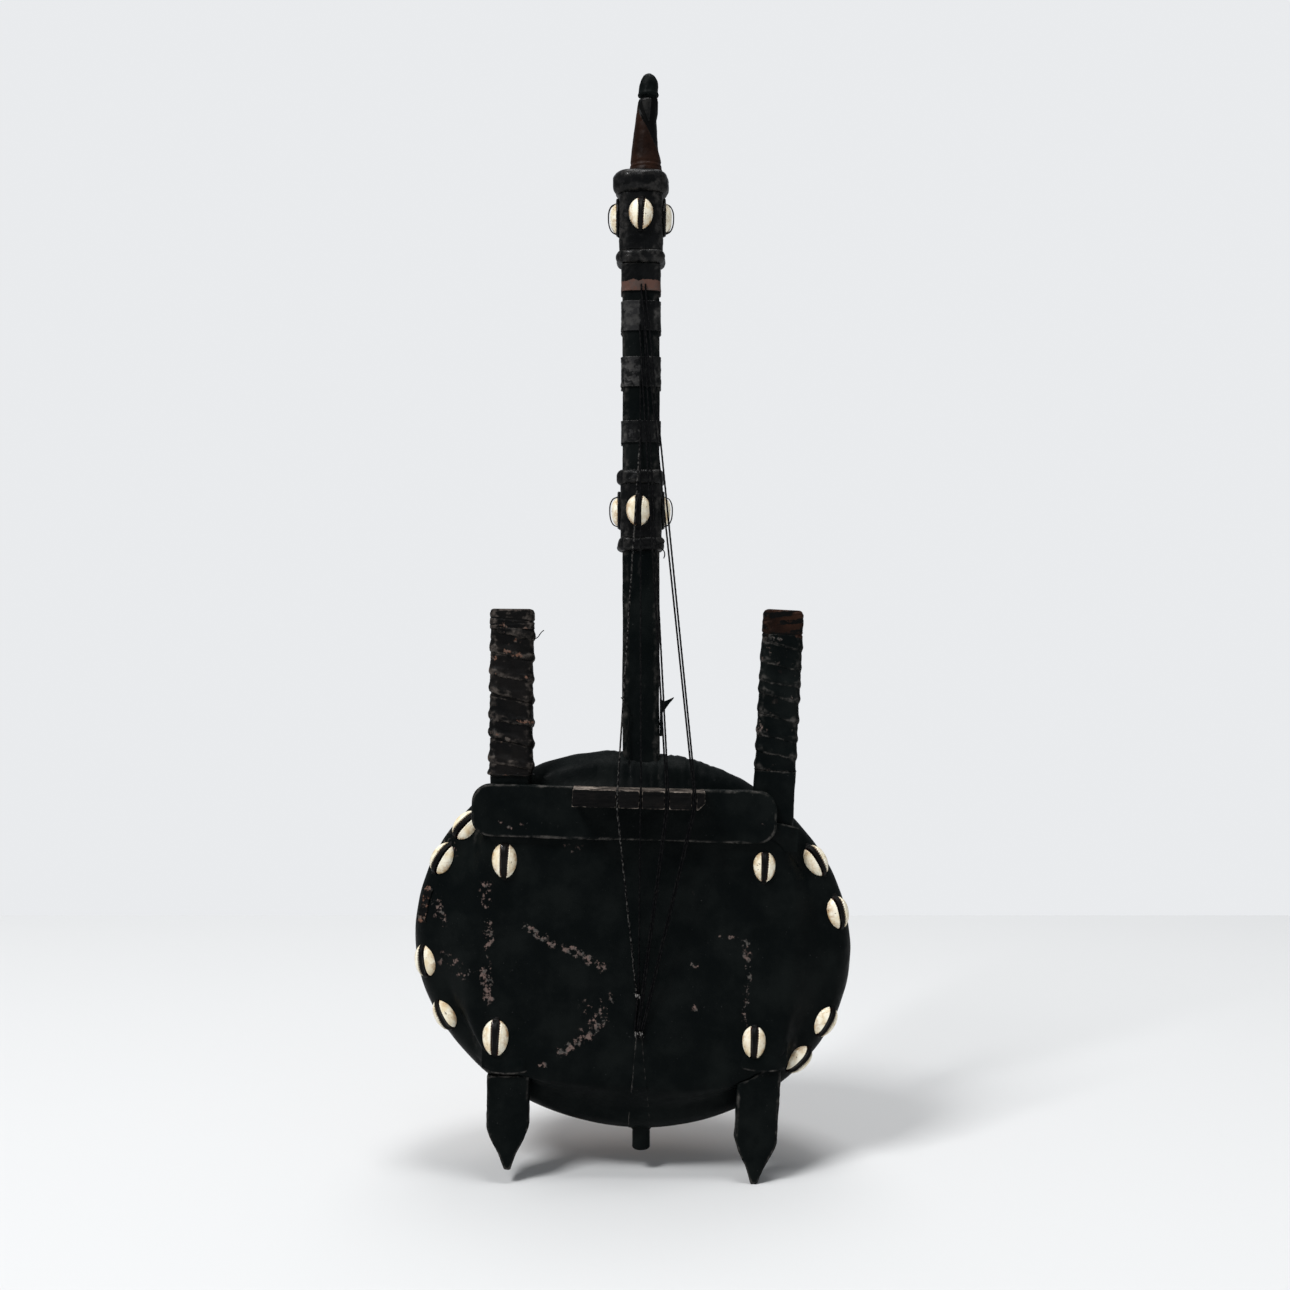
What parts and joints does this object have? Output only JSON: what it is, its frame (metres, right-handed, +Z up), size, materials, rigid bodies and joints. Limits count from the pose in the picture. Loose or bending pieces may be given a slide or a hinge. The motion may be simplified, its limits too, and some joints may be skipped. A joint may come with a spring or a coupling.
{
  "type": "ngoni",
  "caption": "Leather-covered calabash harp-lute with a straight bound neck, two handle sticks, bridge plate and bar, thread strings on sliding bands, and cowrie shells.",
  "frame": {"origin": "where the tail spike leaves the body, on the neck's axis", "axes": "+Z up the neck, -Y the way the face looks, +X to the right as the face is looked at"},
  "size_m": [0.2631, 0.1457, 0.6659],
  "materials": {
    "hide_black": "black-dyed hide, satin, worn grey at the edges",
    "hide_band": "black-dyed leather bands, brown where worn",
    "hide_wrap": "dark brown-black leather strip, creased",
    "hide_brown": "red-brown leather, dry",
    "wood_dark": "plain dark wood",
    "bar_wood": "blackened wood, tan on its worn top edge",
    "gourd": "dark brown calabash, dull polish",
    "string": "black twisted thread",
    "shell": "cream cowrie shell with ochre stains",
    "thong": "black thong"
  },
  "bodies": {
    "instrument": {"bridge_bar": "bar_wood", "face_cowries": "shell", "face_skin": "hide_black", "face_thongs": "thong", "gourd_bowl": "gourd", "left_foot_sheath": "hide_black", "left_handle_cap": "hide_wrap", "left_handle_sleeve": "hide_black", "left_handle_stick": "wood_dark", "left_handle_wrap": "hide_wrap", "left_side_cowries": "shell", "left_side_thongs": "thong", "mid_cuff": "hide_black", "mid_cuff_cowries": "shell", "mid_cuff_lower_roll": "hide_black", "mid_cuff_thongs": "thong", "mid_cuff_upper_roll": "hide_black", "neck_cover": "hide_black", "neck_stick": "wood_dark", "neck_tab": "hide_black", "neck_top_roll": "hide_black", "plate_board": "wood_dark", "plate_leather": "hide_black", "right_foot_sheath": "hide_black", "right_handle_cap": "hide_brown", "right_handle_sleeve": "hide_black", "right_handle_stick": "wood_dark", "right_handle_wrap": "hide_wrap", "right_side_cowries": "shell", "right_side_thongs": "thong", "string_1": "string", "string_2": "string", "string_3": "string", "string_4": "string", "string_5": "string", "string_6": "string", "string_knots": "string", "tail_cord": "string", "tail_strap": "hide_black", "tip_cone_wrap": "hide_brown", "tip_hood": "hide_black", "upper_cuff": "hide_black", "upper_cuff_cowries": "shell", "upper_cuff_lower_roll": "hide_black", "upper_cuff_thongs": "thong"},
    "string_band_body": {"string_band": "hide_band"},
    "ring_1_body": {"tuning_ring_1": "hide_band"},
    "ring_2_body": {"tuning_ring_2": "hide_band"},
    "ring_3_body": {"tuning_ring_3": "hide_band"}
  },
  "joints": [
    {"name": "string_band_slide", "type": "slide", "parent": "instrument", "child": "string_band_body", "axis": [0, 0, 1], "range_m": [-0.0025, 0], "deforming": ["string_1", "string_2"]},
    {"name": "ring_1_slide", "type": "slide", "parent": "instrument", "child": "ring_1_body", "axis": [0, 0, 1], "range_m": [-0.006, 0.003], "deforming": ["string_3", "string_4"]},
    {"name": "ring_2_slide", "type": "slide", "parent": "instrument", "child": "ring_2_body", "axis": [0, 0, 1], "range_m": [-0.006, 0.006], "deforming": ["string_5"]},
    {"name": "ring_3_slide", "type": "slide", "parent": "instrument", "child": "ring_3_body", "axis": [0, 0, 1], "range_m": [-0.006, 0.006], "deforming": ["string_6"]}
  ]
}
